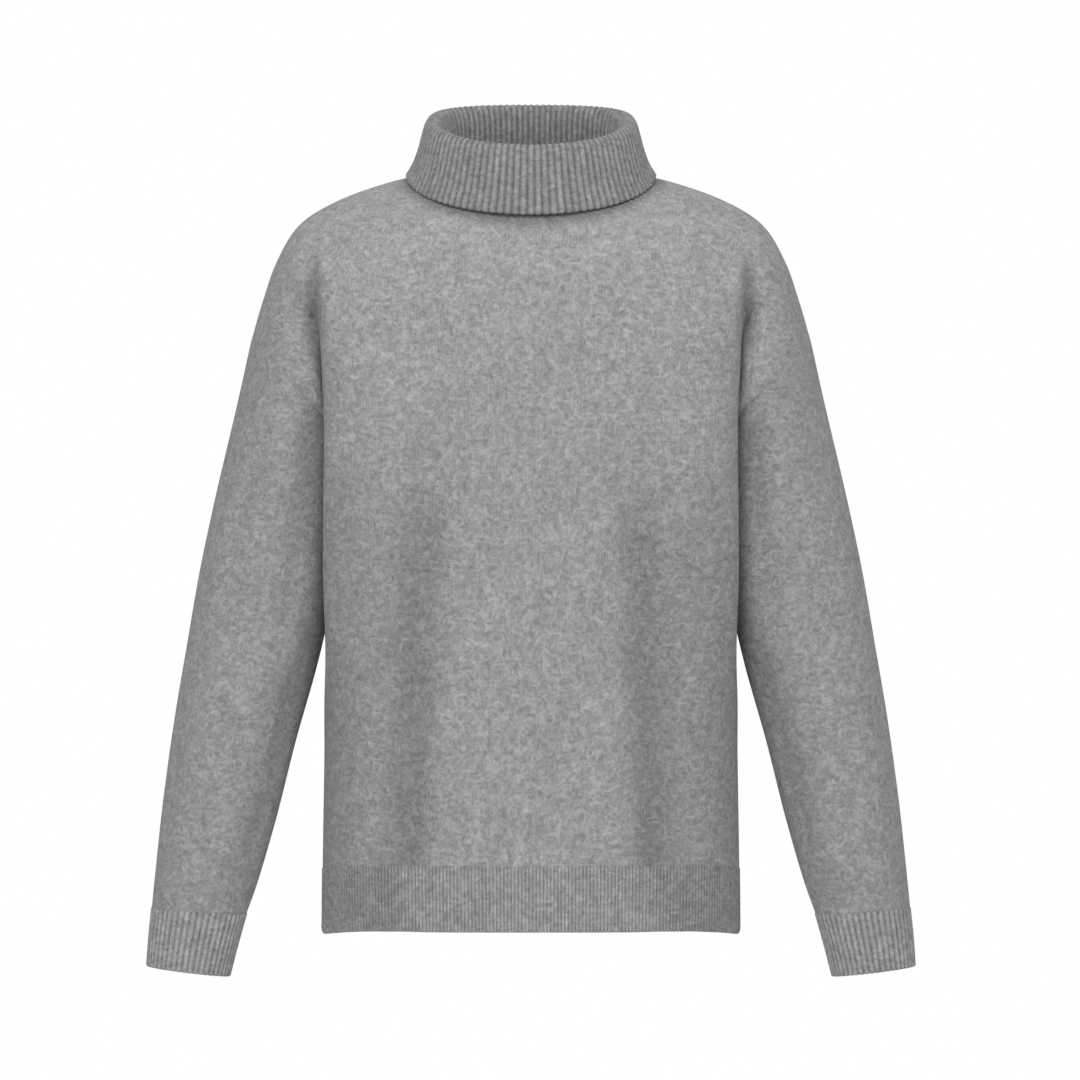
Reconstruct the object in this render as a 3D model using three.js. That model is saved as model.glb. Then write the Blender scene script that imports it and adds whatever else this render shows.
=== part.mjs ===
import * as THREE from "three";

// A knitted turtleneck sweater, hollow, in the shape it has on a wearer.
// Millimetres. +Z is up, the front faces -Y and the wearer's left is +X.
// The origin is the middle of the neck at the height of the neck points, where the shoulders carry it.

const KNIT = 2.2; // thickness of the plain knit
const RIB_WALL = 2.0; // thickness of the ribbed knit between its ridges
const SEAM = 0.3; // gap left between two sewn pieces
const HEM_Z = -650; // lower edge of the body at the side seams
const HEM_BAND = 55; // height of the ribbed hem
const HEM_LIFT = 5.5; // how much higher the hem runs across the front
const CUFF_BAND = 54; // height of the ribbed cuff

// Ribs: how many there are on each piece, and how far a ridge stands above its grooves.
const RIBS = {
  hem: { count: 160, ridge: 0.9 },
  cuff: { count: 46, ridge: 1.1 },
  collar: { count: 96, ridge: 1.4 },
};

// The armhole is an ellipse from the underarm up to the point where the shoulder seam ends.
const UNDERARM = new THREE.Vector3(163, 0, -220);
const SHOULDER_END = new THREE.Vector3(241.5, 0, -142);
const ARMHOLE_DEPTH = 75;

// Horizontal sections of the body, from the hem to the underarm.
// half is the half width, front and back the depths at the centre, square how boxy the section is,
// dent how far the arm presses the side seam in, and reach how far that spreads to the front and back.
const TORSO = [
  { z: -650, half: 180, front: 110, back: 100, square: 2.7, dent: 0, reach: 45 },
  { z: -595, half: 179.5, front: 113, back: 102, square: 2.7, dent: 0, reach: 45 },
  { z: -500, half: 178, front: 116, back: 105, square: 2.7, dent: 0, reach: 45 },
  { z: -430, half: 182, front: 118, back: 108, square: 2.8, dent: 5, reach: 45 },
  { z: -360, half: 186.5, front: 121, back: 110, square: 3.1, dent: 19, reach: 46 },
  { z: -300, half: 190, front: 123.5, back: 112, square: 3.4, dent: 31, reach: 55 },
  { z: -250, half: 192.5, front: 125, back: 113, square: 3.6, dent: 35, reach: 63 },
  { z: -220, half: 194.5, front: 125.5, back: 113, square: 3.6, dent: 31.5, reach: 69 },
];

// The neckline seen from above: its half width and its depths at the front and back.
const NECKLINE = { half: 78, front: 79, back: 60 };

// The middle of the collar's cloth, from the seam up the inside, over the rim and down the outside.
// zFront, zSide and zBack are its heights at those places.
const COLLAR = [
  { half: 76.8, front: 78, back: 59, zFront: -26, zSide: 6.6, zBack: 7.2 },
  { half: 75, front: 72.5, back: 57, zFront: -8, zSide: 22, zBack: 27 },
  { half: 76.5, front: 67, back: 57.5, zFront: 7.5, zSide: 36, zBack: 48 },
  { half: 80, front: 67, back: 60.5, zFront: 19, zSide: 46, zBack: 60.5 },
  { half: 85, front: 71, back: 65, zFront: 24, zSide: 50, zBack: 64.5 },
  { half: 89, front: 76, back: 69.5, zFront: 20.5, zSide: 45.5, zBack: 60 },
  { half: 92, front: 80, back: 73, zFront: 9, zSide: 35, zBack: 47 },
  { half: 95, front: 83.5, back: 76, zFront: -4.5, zSide: 24, zBack: 33 },
  { half: 99.5, front: 87.5, back: 79, zFront: -19, zSide: 12, zBack: 18 },
  { half: 105.5, front: 92, back: 83, zFront: -33.5, zSide: 2, zBack: 4.5 },
];
const NECK_SQUARE = { front: 2, back: 2.8 }; // how boxy the neckline and those rings are

// The shoulder seam from the neck point out and down over the upper arm.
// Its first two rows lie inside the neck opening and only steer the cloth round it.
const SHOULDER = [
  { x: 0, z: 14 },
  { x: 40, z: 11.5 },
  { x: 78, z: 4.5 },
  { x: 120, z: -3.5 },
  { x: 165, z: -19 },
  { x: 199, z: -40 },
  { x: 218.5, z: -71 },
  { x: 231, z: -106 },
  { x: 241.5, z: -142 },
];

// Pulls on the columns of a panel above the underarm, at its centre and towards the arm:
// rise is upwards at the underarm, over is back or forth across the shoulder, tilt how steeply it climbs there.
const PULLS = {
  front: { rise: [622, 300], over: [267, 230], tilt: [0.568, 0] },
  back: { rise: [480, 300], over: [262, 230], tilt: [-0.25, 0] },
};
const ARMPIT_PULL = 300; // pull towards the front or back along the armhole at the underarm

// Sleeve rings below the armhole: where each meets the outline outside and inside,
// its half depth, and how far back its middle lies.
const SLEEVE = [
  { outX: 241.5, outZ: -142, inX: 163, inZ: -220, depth: 75, y: 0 },
  { outX: 253.5, outZ: -196, inX: 165, inZ: -262, depth: 74.5, y: 3 },
  { outX: 271, outZ: -270, inX: 166.5, inZ: -316, depth: 72, y: 4 },
  { outX: 285.5, outZ: -338, inX: 172.5, inZ: -367, depth: 68, y: 3 },
  { outX: 297, outZ: -405, inX: 184.5, inZ: -421, depth: 63, y: 0 },
  { outX: 308, outZ: -471, inX: 202.5, inZ: -485, depth: 58, y: -4 },
  { outX: 317, outZ: -538, inX: 218.5, inZ: -549, depth: 52, y: -11 },
  { outX: 323, outZ: -596, inX: 234, inZ: -603, depth: 46, y: -17 },
  { outX: 326, outZ: -628, inX: 244.5, inZ: -633, depth: 42, y: -20 },
];
const CUFF = [
  { outX: 326, outZ: -628, inX: 244.5, inZ: -633, depth: 42, y: -20 },
  { outX: 328.5, outZ: -654, inX: 252, inZ: -660, depth: 38, y: -23 },
  { outX: 330, outZ: -676.5, inX: 258.5, inZ: -685.5, depth: 36, y: -26 },
];

// Soft upright folds in the body: the panel, the place across at the top and at the foot, the heights
// of both ends, the half widths towards the centre and the arm, the depth, and the length over which
// each end dies away. A negative depth is a ridge.
const FOLDS = [
  { side: -1, top: -75, foot: -117, from: -170, to: -800, inner: 14, outer: 26, depth: 8, fade: 150 },
  { side: -1, top: 79, foot: 116, from: -175, to: -800, inner: 14, outer: 26, depth: 8, fade: 150 },
  { side: -1, top: -142, foot: -148, from: -330, to: -700, inner: 20, outer: 20, depth: -2.5, fade: 90 },
  { side: -1, top: 144, foot: 150, from: -350, to: -700, inner: 20, outer: 20, depth: -2.5, fade: 90 },
  { side: -1, top: -183, foot: -182, from: -62, to: -175, inner: 5, outer: 10, depth: 11, fade: 34 },
  { side: -1, top: 179, foot: 180, from: -62, to: -175, inner: 5, outer: 10, depth: 11, fade: 34 },
  { side: -1, top: -205, foot: -205, from: -30, to: -190, inner: 15, outer: 18, depth: -7, fade: 60 },
  { side: -1, top: 203, foot: 204, from: -30, to: -190, inner: 15, outer: 18, depth: -7, fade: 60 },
  { side: 1, top: -66, foot: -84, from: -180, to: -800, inner: 26, outer: 26, depth: 6, fade: 150 },
  { side: 1, top: 60, foot: 88, from: -220, to: -800, inner: 24, outer: 24, depth: 5.5, fade: 150 },
  { side: 1, top: -184, foot: -181, from: -80, to: -240, inner: 6, outer: 15, depth: 9, fade: 45 },
  { side: 1, top: 184, foot: 180, from: -80, to: -240, inner: 6, outer: 15, depth: 9, fade: 45 },
];

// Where the valley between body and upper arm is drawn in towards the body, and how far.
const VALLEY = { x: 190, z: -140, width: 15, height: 45, shift: 8 };

// Folds along a sleeve: the angle round it (0 inside, 90 front, 180 outside), the shares of its
// length where it begins and ends, the half width in degrees, the depth, and the turn along it.
const SLEEVE_FOLDS = [
  { angle: 60, from: -0.1, to: 0.5, width: 16, depth: 4, turn: 12 },
  { angle: 112, from: 0.1, to: 0.62, width: 20, depth: 2.5, turn: -10 },
  { angle: 35, from: 0.4, to: 0.95, width: 17, depth: 3.5, turn: 15 },
  { angle: 150, from: 0.55, to: 1, width: 18, depth: 2.2, turn: -8 },
  { angle: 240, from: 0.15, to: 0.7, width: 22, depth: 3, turn: 14 },
  { angle: 300, from: 0.3, to: 0.95, width: 18, depth: 3.5, turn: -12 },
];
const SLEEVE_FADE = 0.16;

// How finely each piece is divided.
const BODY_COLUMNS = 26;
const NECK_COLUMNS = 4; // columns of a half panel that end at the neckline
const BODY_ROWS_LOW = 9;
const SLEEVE_ROUND = 26;
const BODY_ROWS_HIGH = SLEEVE_ROUND / 2;
const SLEEVE_ROWS = 14;
const COLLAR_ROWS = 10;

// Numbers and curves

const clamp01 = (t) => Math.min(1, Math.max(0, t));
const smooth = (t) => clamp01(t) ** 2 * (3 - 2 * clamp01(t));
const mix = (a, b, t) => a + (b - a) * t;

// Cubic between two values with their slopes, at t from 0 to 1.
function hermite(a, slopeA, b, slopeB, t) {
  const t2 = t * t;
  const t3 = t2 * t;
  return (2 * t3 - 3 * t2 + 1) * a + (t3 - 2 * t2 + t) * slopeA + (3 * t2 - 2 * t3) * b + (t3 - t2) * slopeB;
}

// A smooth value of one column of a table, where key is the column that its rows are ordered by.
function column(table, key, name, at) {
  const last = table.length - 1;
  let i = 0;
  while (i < last - 1 && at > table[i + 1][key]) i++;
  const slope = (j) => {
    const before = table[Math.max(0, j - 1)];
    const after = table[Math.min(last, j + 1)];
    return (after[name] - before[name]) / (after[key] - before[key]);
  };
  const span = table[i + 1][key] - table[i][key];
  const t = (at - table[i][key]) / span;
  return hermite(table[i][name], slope(i) * span, table[i + 1][name], slope(i + 1) * span, t);
}

// The same for every column at once, with the row's own number as the key.
function rowAt(table, at) {
  const numbered = table.map((row, index) => ({ ...row, index }));
  const row = {};
  for (const name of Object.keys(table[0])) row[name] = column(numbered, "index", name, at);
  return row;
}

// Turns a curve of t from 0 to 1 into one of the share of its length.
function evenly(curve, samples = 160) {
  const points = Array.from({ length: samples + 1 }, (_, i) => curve(i / samples));
  const reach = [0];
  for (let i = 1; i <= samples; i++) reach.push(reach[i - 1] + points[i].distanceTo(points[i - 1]));
  return (share) => {
    const want = clamp01(share) * reach[samples];
    let i = 1;
    while (i < samples && reach[i] < want) i++;
    const t = (want - reach[i - 1]) / (reach[i] - reach[i - 1]);
    return points[i - 1].clone().lerp(points[i], t);
  };
}

// Body sections and outlines

const torsoCurves = new Map();

// A point of the body at a height, at a share of the way from the centre (0) to a side seam (1 or -1).
function torso(z, share, side) {
  const key = `${z} ${side}`;
  if (!torsoCurves.has(key)) {
    const size = (name) => column(TORSO, "z", name, z);
    const power = 2 / size("square");
    const depth = side < 0 ? size("front") : size("back");
    torsoCurves.set(
      key,
      evenly((t) => {
        const angle = (t * Math.PI) / 2;
        const y = side * depth * Math.cos(angle) ** power;
        const pressed = size("dent") * Math.exp(-(Math.abs(y / size("reach")) ** 3));
        return new THREE.Vector3(Math.max(0, size("half") * Math.sin(angle) ** power - pressed), y, z);
      }),
    );
  }
  const point = torsoCurves.get(key)(Math.abs(share));
  point.x *= Math.sign(share);
  return point;
}

// A point of a ring round the neck, at an angle from the centre front (0) to the centre back (180).
function neckRing(ring, angle) {
  const back = angle > 90;
  const power = 2 / (back ? NECK_SQUARE.back : NECK_SQUARE.front);
  const radians = (angle * Math.PI) / 180;
  const across = Math.abs(Math.sin(radians)) ** power;
  const along = Math.abs(Math.cos(radians)) ** power;
  const y = back ? ring.back * along : -ring.front * along;
  const z = mix(ring.zSide, back ? ring.zBack : ring.zFront, along);
  return new THREE.Vector3(ring.half * across, y, z);
}

const shoulderLine = evenly((t) => {
  const row = rowAt(SHOULDER, t * (SHOULDER.length - 1));
  return new THREE.Vector3(row.x, 0, row.z);
}, 320);

// The place between two numbers up to which a test holds.
function limit(low, high, test) {
  for (let i = 0; i < 30; i++) {
    const middle = (low + high) / 2;
    if (test(middle)) low = middle;
    else high = middle;
  }
  return high;
}

// The share of the shoulder line at the neck point.
const NECK_SHARE = limit(0, 1, (share) => shoulderLine(share).x < NECKLINE.half);

// The armhole from the underarm (0) to the shoulder (180) and round the back to 360.
function armhole(angle) {
  const radians = (angle * Math.PI) / 180;
  const point = UNDERARM.clone().lerp(SHOULDER_END, (1 - Math.cos(radians)) / 2);
  point.y -= ARMHOLE_DEPTH * Math.sin(radians);
  return point;
}

// The way the cloth faces along the armhole, shared by the body and the sleeve so that both end in one face.
function armholeFacing(angle) {
  const radians = (angle * Math.PI) / 180;
  const up = Math.max(0, -Math.cos(radians));
  const down = Math.max(0, Math.cos(radians));
  const facing = new THREE.Vector3(0.93 * up - 0.25 * down, -Math.sin(radians), 0.37 * up - 0.97 * down);
  return facing.normalize();
}

// A panel above the underarm: each column is a cubic from the underarm's level over the shoulder.
function upperColumn(s, t, side) {
  const pulls = side < 0 ? PULLS.front : PULLS.back;
  const [rise, over, tilt] = [pulls.rise, pulls.over, pulls.tilt].map((pair) => mix(...pair, smooth(s / 0.8)));
  const low = torso(UNDERARM.z, s, side);
  const top = shoulderLine(s);
  const armpit = smooth((s - 0.8) / 0.2);
  const lowPull = low.clone().sub(torso(UNDERARM.z - 1, s, side)).multiplyScalar(rise * (1 - armpit));
  lowPull.y += side * ARMPIT_PULL * armpit;
  const topPull = new THREE.Vector3(0, -side * over, tilt * over);
  const point = new THREE.Vector3(
    hermite(low.x, lowPull.x, top.x, topPull.x, t),
    hermite(low.y, lowPull.y, top.y, topPull.y, t),
    hermite(low.z, lowPull.z, top.z, topPull.z, t),
  );
  const edge = new THREE.Vector3(
    hermite(UNDERARM.x, 0, SHOULDER_END.x, 0, t),
    hermite(0, side * ARMPIT_PULL, 0, -side * pulls.over[1], t),
    hermite(UNDERARM.z, 0, SHOULDER_END.z, 0, t),
  );
  const seam = armhole(180 * t);
  seam.y *= -side;
  return point.addScaledVector(seam.sub(edge), smooth((s - 0.55) / 0.45));
}

const neckRises = new Map();

// How far up its column a share of the panel meets the neckline, or 1 where it ends at the shoulder seam.
function neckRise(s, side) {
  if (s >= NECK_SHARE) return 1;
  const key = `${s} ${side}`;
  if (!neckRises.has(key)) {
    const depth = side < 0 ? NECKLINE.front : NECKLINE.back;
    const power = side < 0 ? NECK_SQUARE.front : NECK_SQUARE.back;
    const outside = (point) => (point.x / NECKLINE.half) ** power + Math.abs(point.y / depth) ** power > 1;
    neckRises.set(key, limit(0.3, 1, (t) => outside(upperColumn(s, t, side))));
  }
  return neckRises.get(key);
}

function upperPoint(share, t, side) {
  const s = Math.abs(share);
  const point = upperColumn(s, t * neckRise(s, side), side);
  point.x *= Math.sign(share) || 1;
  return point;
}

// The share of a panel's half width at a column, of which those at the neck stand closer to the neck point.
function columnShare(u) {
  const neckPart = NECK_COLUMNS / (BODY_COLUMNS / 2);
  const a = Math.abs(u);
  const share =
    a < neckPart
      ? NECK_SHARE * Math.sin(((a / neckPart) * Math.PI) / 2)
      : mix(NECK_SHARE, 1, (a - neckPart) / (1 - neckPart));
  return share * Math.sign(u);
}

// How far the soft folds press a point of the body in.
function foldDepth(x, z, side) {
  let depth = 0;
  for (const fold of FOLDS) {
    if (fold.side !== side) continue;
    const along = clamp01((z - fold.from) / (fold.to - fold.from));
    const away = (x - mix(fold.top, fold.foot, along)) * Math.sign(fold.top);
    const across = away / (away < 0 ? fold.inner : fold.outer);
    const fade = smooth((fold.from - z) / fold.fade) * smooth((z - fold.to) / fold.fade);
    depth += fold.depth * fade * Math.exp(-(across ** 2));
  }
  return depth;
}

// The outer face of a panel. v runs from the hem band (0) to the underarm's level (1) and the top (2).
function panelPoint(share, v, side) {
  const bandTop = hemLine(share, side, HEM_BAND);
  const point = v <= 1 ? torso(mix(bandTop, UNDERARM.z, v), share, side) : upperPoint(share, v - 1, side);
  const hold = (1 - smooth((Math.abs(share) - 0.9) / 0.1)) * (1 - smooth((v - 1.75) / 0.25));
  const across = (Math.abs(point.x) - VALLEY.x) / VALLEY.width;
  const up = (point.z - VALLEY.z) / VALLEY.height;
  point.x -= Math.sign(share) * VALLEY.shift * Math.exp(-(across ** 2) - up ** 2) * hold;
  point.y -= side * foldDepth(point.x, point.z, side) * hold;
  point.y += (side * SEAM) / 2;
  return point;
}

// The height of a line that runs round the body, above the hem's edge. The edge rounds up at the side seams.
function hemLine(share, side, above) {
  const lift = side < 0 ? HEM_LIFT * (1 - smooth((Math.abs(share) - 0.55) / 0.45)) : 0;
  const corner = above > 0 ? 0 : 6 * smooth((Math.abs(share) - 0.86) / 0.14);
  return HEM_Z + above + lift + corner;
}

// Building walls

// Joins two rows of points, which may differ in number, with triangles.
function stitch(faces, a, b, closed) {
  const countA = closed ? a.length : a.length - 1;
  const countB = closed ? b.length : b.length - 1;
  let i = 0;
  let j = 0;
  while (i < countA || j < countB) {
    const nextA = (i + 1) / countA;
    const nextB = (j + 1) / countB;
    if (j >= countB || (i < countA && nextA <= nextB + 1e-9)) {
      faces.push([a[i % a.length], a[(i + 1) % a.length], b[j % b.length]]);
      i++;
    } else {
      faces.push([a[i % a.length], b[(j + 1) % b.length], b[j % b.length]]);
      j++;
    }
  }
}

// A closed wall between an outer and an inner face, each given as rows of points from one end to the other.
function wall(outer, inner, closed) {
  const points = [];
  const number = (rows) => rows.map((row) => row.map((point) => points.push(point) - 1));
  const out = number(outer);
  const into = number(inner);
  const faces = [];
  for (let r = 1; r < out.length; r++) stitch(faces, out[r - 1], out[r], closed);
  for (let r = 1; r < into.length; r++) stitch(faces, into[r], into[r - 1], closed);
  stitch(faces, into[0], out[0], closed);
  stitch(faces, out.at(-1), into.at(-1), closed);
  if (!closed) {
    stitch(faces, out.map((row) => row[0]), into.map((row) => row[0]), false);
    stitch(faces, into.map((row) => row.at(-1)), out.map((row) => row.at(-1)), false);
  }
  let volume = 0;
  for (const [a, b, c] of faces) volume += points[a].dot(points[b].clone().cross(points[c]));
  if (volume < 0) for (const face of faces) face.reverse();
  const geometry = new THREE.BufferGeometry();
  geometry.setAttribute("position", new THREE.Float32BufferAttribute(points.flatMap((p) => p.toArray()), 3));
  geometry.setIndex(faces.flat());
  geometry.computeVertexNormals();
  return geometry;
}

// The way a surface of two numbers faces, turned to point away from an inside point.
function facing(surface, u, v, insideOf) {
  const step = 1e-3;
  const across = surface(u + step, v).sub(surface(u - step, v));
  const along = surface(u, v + step).sub(surface(u, v - step));
  const normal = across.cross(along).normalize();
  if (normal.dot(surface(u, v).sub(insideOf)) < 0) normal.negate();
  return normal;
}

function panel(side) {
  const surface = (u, v) => panelPoint(columnShare(u), v, side);
  const rows = [];
  for (let r = 0; r <= BODY_ROWS_LOW; r++) rows.push(r / BODY_ROWS_LOW);
  for (let r = 1; r <= BODY_ROWS_HIGH; r++) rows.push(1 + r / BODY_ROWS_HIGH);
  const outer = [];
  const inner = [];
  for (const v of rows) {
    const outerRow = [];
    const innerRow = [];
    for (let c = 0; c <= BODY_COLUMNS; c++) {
      const u = mix(-1, 1, c / BODY_COLUMNS);
      const point = surface(u, v);
      let out;
      if (Math.abs(u) > 0.999 && v >= 1) {
        out = armholeFacing(180 * (v - 1));
        out.y *= -side;
        out.x *= Math.sign(u);
      } else if (Math.abs(u) > 0.999) {
        out = new THREE.Vector3(Math.sign(u), 0, 0);
      } else {
        const vIn = Math.min(v, 1.995);
        out = facing(surface, u, Math.max(vIn, 0.005), new THREE.Vector3(0, 0, Math.min(point.z, -60) - 30));
      }
      if (v === 2 && Math.abs(columnShare(u)) < NECK_SHARE) out.set(0, 0, 1);
      else if (v === 2 && Math.abs(u) < 0.999) out.y = 0;
      outerRow.push(point);
      innerRow.push(point.clone().addScaledVector(out.normalize(), -KNIT));
    }
    outer.push(outerRow);
    inner.push(innerRow);
  }
  outer[0].forEach((point) => (point.z += SEAM / 2));
  inner[0].forEach((point) => (point.z += SEAM / 2));
  return wall(outer, inner, false);
}

function hemBand(side) {
  const { count, ridge } = RIBS.hem;
  const level = (share, above) => {
    const z = hemLine(share, side, above);
    const point = torso(Math.max(z, HEM_Z), share, side);
    point.y -= side * foldDepth(point.x, z, side) * (1 - smooth((Math.abs(share) - 0.9) / 0.1));
    point.y += (side * SEAM) / 2;
    point.z = z;
    return point;
  };
  const band = (points, offset) => (above) =>
    Array.from({ length: points + 1 }, (_, i) => {
      const share = mix(-1, 1, i / points);
      const point = level(share, above);
      const out = facing(level, mix(-0.999, 0.999, i / points), above || 1, new THREE.Vector3(0, 0, point.z));
      out.z = 0;
      if (Math.abs(share) > 0.999) out.y = 0;
      return point.addScaledVector(out.normalize(), offset(i));
    });
  const ribbed = band(count * 2, (i) => (i % 2 ? ridge / 2 : -ridge / 2));
  const plain = band(count / 4, () => -RIB_WALL - ridge / 2);
  const levels = [0, HEM_BAND - SEAM];
  return wall(levels.map(ribbed), levels.map(plain), false);
}

// A point of a sleeve ring, at an angle from the inside (0) over the front (90) and outside (180).
function ringPoint(ring, angle) {
  const radians = (angle * Math.PI) / 180;
  const across = (1 - Math.cos(radians)) / 2;
  return new THREE.Vector3(
    mix(ring.inX, ring.outX, across),
    ring.y - ring.depth * Math.sin(radians),
    mix(ring.inZ, ring.outZ, across),
  );
}

function ringMiddle(ring) {
  return new THREE.Vector3((ring.inX + ring.outX) / 2, ring.y, (ring.inZ + ring.outZ) / 2);
}

function sleeveFoldDepth(angle, along) {
  let depth = 0;
  for (const fold of SLEEVE_FOLDS) {
    const turned = angle - fold.angle - fold.turn * (along - fold.from);
    const across = (((turned + 540) % 360) - 180) / fold.width;
    const fade = smooth((along - fold.from) / SLEEVE_FADE) * smooth((fold.to - along) / SLEEVE_FADE);
    depth += fold.depth * fade * Math.exp(-(across ** 2));
  }
  return depth;
}

function sleevePoint(angle, along) {
  const ring = rowAt(SLEEVE, along * (SLEEVE.length - 1));
  const point = ringPoint(ring, angle);
  const out = point.clone().sub(ringMiddle(ring)).normalize();
  return point.addScaledVector(out, -sleeveFoldDepth(angle, along) * smooth(along / 0.1));
}

// Turns the wearer's left piece into the right one.
function mirrored(rows, hand) {
  for (const row of rows) for (const point of row) point.x *= hand;
  return rows;
}

function sleeve(hand) {
  const outer = [];
  const inner = [];
  const shift = new THREE.Vector3(1, 0, -1).setLength(SEAM * 2.3);
  for (let r = 0; r <= SLEEVE_ROWS; r++) {
    const along = r / SLEEVE_ROWS;
    const middle = ringMiddle(rowAt(SLEEVE, along * (SLEEVE.length - 1)));
    const outerRow = [];
    const innerRow = [];
    for (let c = 0; c < SLEEVE_ROUND; c++) {
      const angle = (360 * c) / SLEEVE_ROUND;
      const point = sleevePoint(angle, along);
      const out = r === 0 ? armholeFacing(angle) : facing(sleevePoint, angle, Math.min(along, 0.99), middle);
      if (r === 0) point.add(shift);
      outerRow.push(point);
      innerRow.push(point.clone().addScaledVector(out, -KNIT));
    }
    outer.push(outerRow);
    inner.push(innerRow);
  }
  return wall(mirrored(outer, hand), mirrored(inner, hand), true);
}

function cuff(hand) {
  const { count, ridge } = RIBS.cuff;
  const surface = (angle, along) => ringPoint(rowAt(CUFF, along * (CUFF.length - 1)), angle);
  const band = (points, offset) => (along) => {
    const middle = ringMiddle(rowAt(CUFF, along * (CUFF.length - 1)));
    return Array.from({ length: points }, (_, i) => {
      const angle = (360 * i) / points;
      const point = surface(angle, along);
      const out = facing(surface, angle, Math.min(Math.max(along, 0.01), 0.99), middle);
      return point.addScaledVector(out, offset(i));
    });
  };
  const ribbed = band(count * 2, (i) => (i % 2 ? ridge / 2 : -ridge / 2));
  const plain = band(count, () => -RIB_WALL - ridge / 2);
  const levels = [(SEAM * 1.2) / CUFF_BAND, 0.5, 1];
  return wall(mirrored(levels.map(ribbed), hand), mirrored(levels.map(plain), hand), true);
}

// The middle of the collar's cloth, at a share of the way round from the centre front.
function collarPoint(share, along) {
  const ring = rowAt(COLLAR, along * (COLLAR.length - 1));
  const half = 1 - Math.abs(1 - 2 * (((share % 1) + 1) % 1));
  const point = collarCurve(ring)(half);
  if (((share % 1) + 1) % 1 > 0.5) point.x *= -1;
  return point;
}

const collarCurves = new Map();

function collarCurve(ring) {
  const key = Object.values(ring).join(" ");
  if (!collarCurves.has(key)) collarCurves.set(key, evenly((t) => neckRing(ring, 180 * t), 240));
  return collarCurves.get(key);
}

function collar() {
  const { count, ridge } = RIBS.collar;
  const step = 1e-3;
  const row = (points, offset, along) =>
    Array.from({ length: points }, (_, i) => {
      const share = i / points;
      const low = Math.max(along - step, 0);
      const high = Math.min(along + step, 1);
      const across = collarPoint(share + step, along).sub(collarPoint(share - step, along));
      const up = collarPoint(share, high).sub(collarPoint(share, low));
      const out = up.cross(across).normalize();
      return collarPoint(share, along).addScaledVector(out, offset(i));
    });
  const levels = Array.from({ length: COLLAR_ROWS + 1 }, (_, i) => i / COLLAR_ROWS);
  const ribbed = levels.map((along) => row(count * 2, (i) => RIB_WALL / 2 + (i % 2 ? ridge : 0), along));
  const plain = levels.map((along) => row(count / 2, () => -RIB_WALL / 2, along));
  return wall(ribbed, plain, true);
}

// The finished sweater

function yarn(name, color) {
  return new THREE.MeshStandardMaterial({ name, color, roughness: 0.95, metalness: 0 });
}

const plainKnit = yarn("plain_knit", 0x9c9c9c);
const ribKnit = yarn("rib_knit", 0x929292);

function piece(name, geometry, material) {
  const mesh = new THREE.Mesh(geometry, material);
  mesh.name = name;
  return mesh;
}

const sweater = new THREE.Group();
sweater.name = "turtleneck_sweater";
sweater.add(
  piece("front", panel(-1), plainKnit),
  piece("back", panel(1), plainKnit),
  piece("hem_front", hemBand(-1), ribKnit),
  piece("hem_back", hemBand(1), ribKnit),
  piece("collar", collar(), ribKnit),
);
for (const [hand, name] of [[1, "left"], [-1, "right"]]) {
  sweater.add(piece(`sleeve_${name}`, sleeve(hand), plainKnit), piece(`cuff_${name}`, cuff(hand), ribKnit));
}

export default sweater;
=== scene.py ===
import math

import bpy
import numpy as np
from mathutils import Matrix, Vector

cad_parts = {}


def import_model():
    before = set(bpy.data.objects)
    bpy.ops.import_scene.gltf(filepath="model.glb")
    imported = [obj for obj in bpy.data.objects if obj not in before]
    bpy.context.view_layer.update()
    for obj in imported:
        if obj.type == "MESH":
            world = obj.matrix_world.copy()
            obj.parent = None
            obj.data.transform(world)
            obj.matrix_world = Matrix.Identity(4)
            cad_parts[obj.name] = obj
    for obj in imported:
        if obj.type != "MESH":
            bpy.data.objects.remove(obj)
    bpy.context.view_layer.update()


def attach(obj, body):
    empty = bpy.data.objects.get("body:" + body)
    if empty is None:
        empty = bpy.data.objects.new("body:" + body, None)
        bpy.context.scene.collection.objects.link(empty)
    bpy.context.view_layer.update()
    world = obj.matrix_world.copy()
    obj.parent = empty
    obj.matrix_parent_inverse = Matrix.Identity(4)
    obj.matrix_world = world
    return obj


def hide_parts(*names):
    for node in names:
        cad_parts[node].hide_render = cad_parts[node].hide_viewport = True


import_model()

# A knitted turtleneck sweater, hollow, in the shape it has on a wearer.
# Lengths are in millimetres until a mesh is made. The front faces -Y and +X is the wearer's left.

MM = 0.001
KNIT = 2.2  # thickness of the plain knit
RIB_WALL = 2.0  # thickness of the ribbed knit between its ridges
HEM_Z = -650  # lower edge of the body at the side seams
HEM_BAND = 55  # height of the ribbed hem
HEM_LIFT = 5.5  # how much higher the hem runs across the front
HEM_LEVEL_PART = 0.55  # share of a half panel from which that lift dies away
HEM_CORNER, HEM_CORNER_PART = 6, 0.86  # how far the edge rounds up at a side seam, and from which share
CUFF_BAND = 54  # height of the ribbed cuff

# Ribs: how many there are on each piece, how far a ridge stands up, and how many points draw one.
# groove and top are the shares of light painted in a groove and on a ridge's top: painted shade in the
# grooves, and over the whole piece where top is below 1.
RIBS = {
    "hem": {"count": 160, "ridge": 1.1, "points": 8, "groove": 0.4, "top": 1.0},
    "cuff": {"count": 46, "ridge": 1.3, "points": 10, "groove": 0.22, "top": 1.0},
    "collar": {"count": 96, "ridge": 1.8, "points": 10, "groove": 0.0, "top": 0.62},
}
RIB_ROUNDNESS = 0.8  # the lower, the rounder a ridge and the narrower the groove beside it
RIM_ROW, RIM_REACH = 4, 1.1  # the collar's ring at its folded rim, and how many rings its effect reaches
RIM_FLATTER = 0.45  # how much lower the ribs are at the rim

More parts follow.
